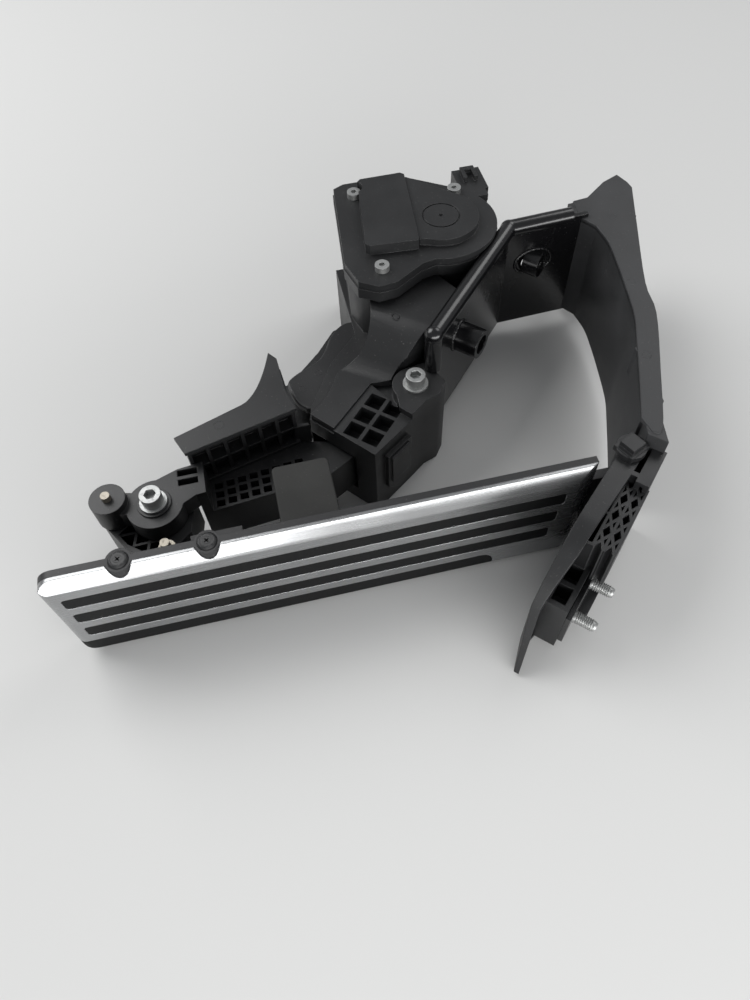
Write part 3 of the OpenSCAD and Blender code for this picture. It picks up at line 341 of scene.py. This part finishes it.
# Apron below the wing, which closes the view between the guard and the housing, in mm
APRON = [(-103.5, -50), (-90, -50), (-90, -80), (-98, -82), (-103.5, -74)]
APRON_LOW = 30
APRON_TOP = 34

# Ejector marks: name, body, slot, height of the face, radius and places, in mm
EJECTOR_MARKS = [
    ("guard_marks", "arm", "moulding", 63, 2.4, [(-136, -93.5)]),
    ("wing_marks", "unit", "moulding", WING_TOP, 1.8, [(-92, -66), (-82, -57)]),
    ("crown_marks", "unit", "moulding", 72, 2, [(-38, -52)]),
    ("side_arm_marks", "unit", "arm_moulding", SIDE_TOP, 2.2, [(97, -10), (86, -62), (72, -112)]),
]

# Plan of the steel bracket's middle line, half its thickness, and the wall of its collars, in mm
BRACKET_FOOT = (-24, -75)
BRACKET_KNEE = (37, -7)
BRACKET_END = (84, -5)
BRACKET_HALF = 1.25
COLLAR_WALL = 2.9

# Thread of the floor studs: its core as a share of the radius, its pitch, the plain length below
# it inside the plate, and the plain collar where it starts
THREAD_CORE = 0.84
THREAD_PITCH = 1 * MM
THREAD_STEPS = 28
STUD_ROOT = 4 * MM
STUD_COLLAR = 0.8 * MM

# Weld beads: the radius of a ripple in mm and how many go round a collar
BEAD_SIZE = 1.0
BEAD_COUNT = 66

# Line of the guard on the pedal arm and the heights of its fillet and gusset, in mm
GUARD_FOOT = (-153, -105.5)
GUARD_END = (-99, -91.5)
FILLET_HEIGHTS = (33.5, 38)
GUSSET_HEIGHTS = (34, 48)


def only(piece):
    """Makes one object the active and only selected one."""
    bpy.ops.object.select_all(action="DESELECT")
    piece.select_set(True)
    bpy.context.view_layer.objects.active = piece


def apply_modifier(piece, kind, **settings):
    """Adds a modifier with its settings and applies it."""
    only(piece)
    modifier = piece.modifiers.new(kind.lower(), kind)
    for name, setting in settings.items():
        setattr(modifier, name, setting)
    bpy.ops.object.modifier_apply(modifier=modifier.name)


def finish_piece(piece, name, body, slot):
    """Names a finished piece, gives it its material, and puts it on its body."""
    only(piece)
    bpy.ops.object.transform_apply(location=True, rotation=True, scale=True)
    piece.name = name
    piece.data.materials.clear()
    piece.data.materials.append(MATERIALS[slot])
    bpy.ops.object.shade_smooth_by_angle(angle=math.radians(35))
    apply_modifier(piece, "WEIGHTED_NORMAL", keep_sharp=True, weight=100)
    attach(piece, body)
    return piece


def dress_nodes():
    """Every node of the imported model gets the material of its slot."""
    for name, node in frame["nodes"].items():
        node.data.materials.clear()
        node.data.materials.append(MATERIALS[SLOT_OF[name]])
        only(node)
        bpy.ops.object.shade_smooth_by_angle(angle=math.radians(30))


def lower_faces(piece, height, drop):
    """Lowers the level faces at a height by a hair, clear of what slides over them."""
    only(piece)
    for vertex in piece.data.vertices:
        vertex.select = abs(vertex.co.z - height * MM) < 0.01 * MM
    bpy.ops.object.mode_set(mode="EDIT")
    bpy.ops.transform.translate(value=(0, 0, -drop * MM))
    bpy.ops.object.mode_set(mode="OBJECT")


def clean_copy(node_name):
    """A copy of a node with its loose triangles merged and its flat faces made whole."""
    piece = bpy.data.objects.new(node_name + "_copy", frame["nodes"][node_name].data.copy())
    bpy.context.scene.collection.objects.link(piece)
    only(piece)
    bpy.ops.object.mode_set(mode="EDIT")
    bpy.ops.mesh.select_all(action="SELECT")
    bpy.ops.mesh.remove_doubles(threshold=1e-6)
    bpy.ops.mesh.dissolve_limited(angle_limit=math.radians(0.5))
    bpy.ops.object.mode_set(mode="OBJECT")
    return piece


def soft_edged(node_name, width):
    """A copy of a node whose sharp edges are rounded, in place of the node."""
    piece = clean_copy(node_name)
    if node_name == "pedal_arm":
        lower_faces(piece, SLIDING_FACE, SLIDING_GAP)
    round_off(piece, width)
    finish_piece(piece, "rounded_" + node_name, BODY_OF[node_name], SLOT_OF[node_name])
    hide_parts(node_name)


def islands(node_name):
    """Bounding boxes of the separate lumps of a node, in order along X."""
    mesh = bmesh.new()
    mesh.from_mesh(frame["nodes"][node_name].data)
    bmesh.ops.remove_doubles(mesh, verts=mesh.verts, dist=1e-6)
    left = set(mesh.verts)
    boxes = []
    while left:
        front = [left.pop()]
        lump = []
        while front:
            vertex = front.pop()
            lump.append(vertex.co.copy())
            for edge in vertex.link_edges:
                other = edge.other_vert(vertex)
                if other in left:
                    left.remove(other)
                    front.append(other)
        low = Vector([min(point[axis] for point in lump) for axis in range(3)])
        high = Vector([max(point[axis] for point in lump) for axis in range(3)])
        boxes.append((low, high))
    mesh.free()
    return sorted(boxes, key=lambda box: box[0].x)


def mount_place(name):
    """Where a mount of the record is, its axis and its dimensions."""
    mount = next(entry for entry in RECORD["mounts"] if entry["name"] == name)
    return Vector(mount["pos_m"]), Vector(mount["axis"]).normalized(), mount["dims"]


def turned(place, axis):
    """The matrix that puts a piece made along Z at a place, along an axis."""
    return Matrix.Translation(place) @ axis.to_track_quat("Z", "Y").to_matrix().to_4x4()


def join(pieces):
    """Makes one object of several."""
    if len(pieces) == 1:
        return pieces[0]
    bpy.ops.object.select_all(action="DESELECT")
    for piece in pieces:
        piece.select_set(True)
    bpy.context.view_layer.objects.active = pieces[0]
    bpy.ops.object.join()
    return pieces[0]


def add_piece(primitive, matrix, **sizes):
    """A new primitive, put where a matrix says."""
    bpy.ops.object.select_all(action="DESELECT")
    primitive(**sizes)
    piece = bpy.context.object
    piece.matrix_world = matrix
    return piece


def add_cylinder(place, axis, radius, length, sides=40):
    """A cylinder from a place along an axis."""
    matrix = turned(Vector(place) + axis * length / 2, axis)
    return add_piece(
        bpy.ops.mesh.primitive_cylinder_add, matrix, vertices=sides, radius=radius, depth=length
    )


def add_cone(place, axis, radius_low, radius_high, length, sides=40):
    """A cut cone from a place along an axis."""
    matrix = turned(Vector(place) + axis * length / 2, axis)
    return add_piece(
        bpy.ops.mesh.primitive_cone_add, matrix,
        vertices=sides, radius1=radius_low, radius2=radius_high, depth=length,
    )


def add_ring(place, axis, major, minor, sides=48):
    """A round ring about a place."""
    return add_piece(
        bpy.ops.mesh.primitive_torus_add, turned(Vector(place), axis),
        major_radius=major, minor_radius=minor, major_segments=sides, minor_segments=10,
    )


def draw_path(places, closed=False):
    """A path of edges drawn from place to place, in metres, and filled where it is closed."""
    piece = add_piece(bpy.ops.mesh.primitive_plane_add, Matrix.Identity(4), size=MM)
    bpy.ops.object.mode_set(mode="EDIT")
    bpy.ops.mesh.select_all(action="SELECT")
    bpy.ops.mesh.merge(type="CENTER")
    bpy.ops.transform.translate(value=places[0])
    for here, there in zip(places, places[1:]):
        bpy.ops.mesh.extrude_region_move(TRANSFORM_OT_translate={"value": there - here})
    bpy.ops.mesh.select_all(action="SELECT")
    if closed:
        bpy.ops.mesh.edge_face_add()
        bpy.ops.mesh.normals_make_consistent(inside=False)
    bpy.ops.object.mode_set(mode="OBJECT")
    return piece


def add_thread(place, axis, core, crest, pitch, turns):
    """One ridge of a thread wound along an axis, from the place on."""
    profile = [(core, 0), (core, 0.12), (crest, 0.42), (crest, 0.58), (core, 0.88), (core, 1)]
    piece = draw_path([Vector((radius, 0, step * pitch)) for radius, step in profile])
    apply_modifier(
        piece, "SCREW", axis="Z", angle=math.tau, screw_offset=pitch,
        iterations=turns, steps=THREAD_STEPS, render_steps=THREAD_STEPS, use_normal_calculate=True,
    )
    piece.matrix_world = turned(Vector(place), axis)
    return piece


def thread_studs():
    """Floor studs with rolled threads, in place of the plain ones."""
    pieces = []
    for name in ("near_floor_stud", "far_floor_stud"):
        place, axis, dims = mount_place(name)
        radius = dims["r_mm"] * MM
        length = dims["length_mm"] * MM
        core = radius * THREAD_CORE
        start = place - axis * length / 2
        end = place + axis * length / 2
        pieces.append(add_cylinder(start - axis * STUD_ROOT, axis, core + 0.03 * MM, length + STUD_ROOT))
        pieces.append(add_cone(end, axis, core, core * 0.82, 1 * MM))
        pieces.append(add_cylinder(start, axis, radius, STUD_COLLAR))
        turns = int((length - 1.4 * MM) / THREAD_PITCH)
        ridge = start + axis * STUD_COLLAR
        pieces.append(add_thread(ridge, axis, core, radius - 0.02 * MM, THREAD_PITCH, turns))
    studs = finish_piece(join(pieces), "threaded_studs", BODY_OF["floor_studs"], SLOT_OF["floor_studs"])
    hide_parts("floor_studs")


def ripple_bead(place, across, upward, size, blobs):
    """A weld bead round a place, laid as overlapping ripples on an ellipse."""
    pieces = []
    for index in range(blobs):
        angle = math.tau * index / blobs
        spot = place + across * math.cos(angle) + upward * math.sin(angle)
        pieces.append(add_piece(
            bpy.ops.mesh.primitive_uv_sphere_add, Matrix.Translation(spot),
            segments=14, ring_count=8, radius=size * (1 + 0.12 * math.sin(index * 2.3)),
        ))
    return join(pieces)


def weld_collars():
    """Weld beads where the mounting collars meet the two halves of the steel bracket."""
    beads = []
    for name, start, end in (
        ("front_collar", BRACKET_FOOT, BRACKET_KNEE), ("rear_collar", BRACKET_KNEE, BRACKET_END)
    ):
        place, axis, dims = mount_place(name)
        along = (Vector((*end, 0)) - Vector((*start, 0))).normalized()
        normal = Vector((along.y, -along.x, 0))
        face = Vector((*start, 0)) * MM + normal * BRACKET_HALF * MM
        lean = axis.dot(normal)
        centre = place - axis * ((place - face).dot(normal) / lean)
        radius = (dims["r_mm"] + COLLAR_WALL) * MM
        beads.append(ripple_bead(centre, along * radius / lean, UP * radius, BEAD_SIZE * MM, BEAD_COUNT))
    finish_piece(join(beads), "collar_welds", BODY_OF["mount_collars"], "painted_steel")


def clip_faces():
    """Heads of the pad clips: a rim, an inner ring and a cross."""
    pieces = []
    for low, high in islands("pad_clips"):
        centre = (low + high) / 2
        radius = (high.x - low.x) / 2
        top = Vector((centre.x, centre.y, high.z))
        pieces.append(add_ring(top - UP * 0.25 * MM, UP, radius * 0.74, 0.4 * MM))
        pieces.append(add_ring(top - UP * 0.3 * MM, UP, radius * 0.42, 0.35 * MM))
        for angle in (35, 125):
            matrix = (
                Matrix.Translation(top - UP * 0.25 * MM)
                @ Matrix.Rotation(math.radians(angle), 4, "Z")
                @ Matrix.Diagonal((radius * 0.55, 0.6 * MM, 0.5 * MM, 1))
            )
            pieces.append(add_piece(bpy.ops.mesh.primitive_cube_add, matrix, size=1))
    finish_piece(join(pieces), "clip_faces", BODY_OF["pad_clips"], SLOT_OF["pad_clips"])


def curve_through(points, steps=6):
    """A smooth curve through a list of points of the plan."""
    path = [Vector(point) for point in points]
    ends = [2 * path[0] - path[1], *path, 2 * path[-1] - path[-2]]
    smooth = []
    for before, first, second, after in zip(ends, ends[1:], ends[2:], ends[3:]):
        for step in range(steps):
            t = step / steps
            smooth.append(0.5 * (
                2 * first + (second - before) * t
                + (2 * before - 5 * first + 4 * second - after) * t * t
                + (3 * first - before - 3 * second + after) * t ** 3
            ))
    return smooth + [path[-1]]


def draw_line(points, z, closed=False):
    """A path drawn through points of the plan at a height, in millimetres."""
    return draw_path([Vector((point[0], point[1], z)) * MM for point in points], closed)


def raise_up(piece, height):
    """Draws all of a line or face up by a height in millimetres."""
    only(piece)
    bpy.ops.object.mode_set(mode="EDIT")
    bpy.ops.mesh.select_all(action="SELECT")
    bpy.ops.mesh.extrude_region_move(TRANSFORM_OT_translate={"value": (0, 0, height * MM)})
    bpy.ops.mesh.select_all(action="SELECT")
    bpy.ops.mesh.normals_make_consistent(inside=False)
    bpy.ops.object.mode_set(mode="OBJECT")
    return piece


def round_off(piece, width, segments=2):
    """Rounds the edges that turn by more than 40 degrees, by a width in millimetres."""
    apply_modifier(
        piece, "BEVEL", width=width * MM, segments=segments, limit_method="ANGLE",
        angle_limit=math.radians(40), use_clamp_overlap=True,
    )
    return piece


def plate(points, low, high, edge=0.4):
    """A flat plate with the outline given by points of the plan, between two heights."""
    return round_off(raise_up(draw_line(points, low, True), high - low), edge)


def wall(points, low, high, thickness, side):
    """An upright wall along a line of the plan, with its thickness to one side, 1 or -1."""
    piece = raise_up(draw_line(points, low), high - low)
    apply_modifier(piece, "SOLIDIFY", thickness=thickness * MM, offset=side, use_even_offset=True)
    return round_off(piece, 0.4)


def shape_side_arm():
    """The curved side arm: a flange, a wall, a skirt, a sleeve, a lug and ribs."""
    bow = curve_through(SIDE_ARM_INNER)
    rim = curve_through(SIDE_ARM_OUTER, 4) + [Vector(point) for point in SIDE_ARM_TIP]
    under = SIDE_TOP - 1
    outline = rim + [(81, 9.5)] + SIDE_ARM_NECK + bow[1:]
    pieces = [
        plate(outline, SIDE_TOP - SIDE_FLANGE, SIDE_TOP, 0.8),
        wall(SIDE_ARM_NECK + bow[1:], SIDE_LOW, under, SIDE_WALL, 1),
        wall(rim, SIDE_TOP - SIDE_SKIRT, under, SIDE_WALL, -1),
        plate(SIDE_ARM_SLEEVE, SIDE_LOW, under),
        plate(SIDE_ARM_LUG, SIDE_TOP - SIDE_LUG, under),
    ]
    for share in SIDE_RIB_SHARES:
        left = Vector(bow[int(share * (len(bow) - 1))])
        right = Vector(rim[int((1 - share) * (len(rim) - 1))])
        across = (right - left).normalized() * SIDE_RIB_HALF
        side = Vector((-across.y, across.x))
        ends = [left + side + across, left - side + across, right - side - across, right + side - across]
        pieces.append(plate(ends, SIDE_TOP - SIDE_RIB, under, 0.3))
    arm = finish_piece(join(pieces), "curved_side_arm", BODY_OF["side_arm"], SLOT_OF["side_arm"])
    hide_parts("side_arm")


def shape_crown():
    """The top cover, trimmed to the winding edge that it has beside the wing."""
    piece = clean_copy("top_cover")
    outline = CROWN_BEFORE + curve_through(CROWN_EDGE) + CROWN_BEHIND
    trim = raise_up(draw_line(outline, CROWN_TRIM_LOW, True), CROWN_TRIM_HEIGHT)
    apply_modifier(piece, "BOOLEAN", operation="INTERSECT", object=trim, solver="EXACT")
    bpy.data.objects.remove(trim)
    round_off(piece, 0.9, 3)
    finish_piece(piece, "crown", BODY_OF["top_cover"], SLOT_OF["top_cover"])
    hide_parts("top_cover")


def shape_wing():
    """The low wing beside the crown, with a rolled edge and an apron below it."""
    outline = curve_through(WING_EDGE) + WING_ROOT
    wing = plate(outline, WING_TOP - WING_WALL, WING_TOP, 1.6)
    apron = plate(APRON, APRON_LOW, APRON_TOP)
    finish_piece(join([wing, apron]), "housing_wing", "unit", SLOT_OF["main_housing"])


def mark_mouldings():
    """Round marks that the ejector pins left on the mouldings."""
    for name, body, slot, top, radius, places in EJECTOR_MARKS:
        rings = []
        for place in places:
            spot = Vector((*place, top)) * MM - UP * 0.12 * MM
            rings.append(add_ring(spot, UP, radius * MM, 0.2 * MM, 32))
        finish_piece(join(rings), name, body, slot)


def root_guard():
    """The fillet under the guard and the gusset at its end, on the pedal arm."""
    foot = Vector(GUARD_FOOT)
    end = Vector(GUARD_END)
    along = (end - foot).normalized()
    side = Vector((-along.y, along.x))
    strip = [foot - side * 1.5, end - side * 1.5, end + side * 3, foot + side * 3]
    wedge = [end - along * 2, end + along * 6 - side * 2, end + along * 6, end + side * 2]
    fillet = plate(strip, *FILLET_HEIGHTS)
    gusset = plate(wedge, *GUSSET_HEIGHTS)
    finish_piece(join([fillet, gusset]), "guard_root", BODY_OF["arm_guard"], SLOT_OF["arm_guard"])


def make_camera():
    """The photograph's camera, placed once it was fitted to the object."""
    data = bpy.data.cameras.new("camera")
    data.sensor_width = SENSOR
    data.lens = FOCAL_PIXELS * SENSOR / IMAGE_HEIGHT
    data.clip_start = 0.01
    camera = bpy.data.objects.new("camera", data)
    bpy.context.scene.collection.objects.link(camera)
    turn = Matrix.Rotation(math.radians(-CAMERA_HEADING), 4, "Z")
    tilt = Matrix.Rotation(math.radians(90 - CAMERA_TILT), 4, "X")
    roll = Matrix.Rotation(math.radians(-CAMERA_ROLL), 4, "Z")
    camera.matrix_world = Matrix.Translation(CAMERA_PLACE) @ turn @ tilt @ roll
    bpy.context.scene.camera = camera


def make_lamp(name, place, aim, size, power):
    """A square soft box at a place, turned to shine at a point."""
    data = bpy.data.lights.new(name, "AREA")
    data.size = size
    data.energy = power
    lamp = bpy.data.objects.new(name, data)
    lamp.location = place
    lamp.rotation_euler = (Vector(aim) - Vector(place)).to_track_quat("-Z", "Y").to_euler()
    bpy.context.scene.collection.objects.link(lamp)


def plain_material(piece, **sockets):
    """Gives a piece a plain material of its own name, with some of the shader's sockets set."""
    material = bpy.data.materials.new(piece.name)
    material.use_nodes = True
    shader = material.node_tree.nodes["Principled BSDF"]
    for name, value in sockets.items():
        shader.inputs[name.replace("_", " ")].default_value = value
    piece.data.materials.append(material)


def make_floor():
    """A plain pale floor, a hair below the resting plane."""
    place = Matrix.Translation((0, 0, -0.0002))
    floor = add_piece(bpy.ops.mesh.primitive_plane_add, place, size=12)
    floor.name = "floor"
    plain_material(floor, Base_Color=(0.66, 0.66, 0.65, 1), Roughness=0.95, Specular_IOR_Level=0.1)


def make_card(name, place, aim, width, height, strength):
    """A white card that glows softly, out of the picture, for the bright metal to mirror."""
    place = Vector(place)
    matrix = turned(place, (Vector(aim) - place).normalized()) @ Matrix.Diagonal((width, height, 1, 1))
    card = add_piece(bpy.ops.mesh.primitive_plane_add, matrix, size=1)
    card.name = name
    white = (1, 1, 1, 1)
    plain_material(card, Base_Color=(0, 0, 0, 1), Emission_Color=white, Emission_Strength=strength)
    card.visible_camera = False


def make_light():
    """Soft light from behind on the left, with a card in front for the pad's bevel."""
    world = bpy.data.worlds.new("world")
    bpy.context.scene.world = world
    world.use_nodes = True
    background = world.node_tree.nodes["Background"]
    background.inputs["Color"].default_value = (0.95, 0.97, 1.0, 1)
    background.inputs["Strength"].default_value = 0.34
    make_lamp("key_lamp", (-0.74, 0.52, 0.95), (-0.05, -0.08, 0.03), size=0.9, power=11)
    make_lamp("side_lamp", (0.7, 0.35, 0.9), (-0.05, -0.1, 0.03), size=0.6, power=3)
    make_card(
        "front_card", (0.02, -1.0, 0.24), (-0.08, -0.12, 0.05), width=1.7, height=0.3, strength=7.5
    )


make_camera()
make_light()
make_floor()
dress_nodes()
for rounded_node, edge_width in ROUNDED.items():
    soft_edged(rounded_node, edge_width)
shape_side_arm()
shape_crown()
shape_wing()
root_guard()
mark_mouldings()
thread_studs()
weld_collars()
clip_faces()

bpy.context.scene.view_settings.view_transform = "Standard"
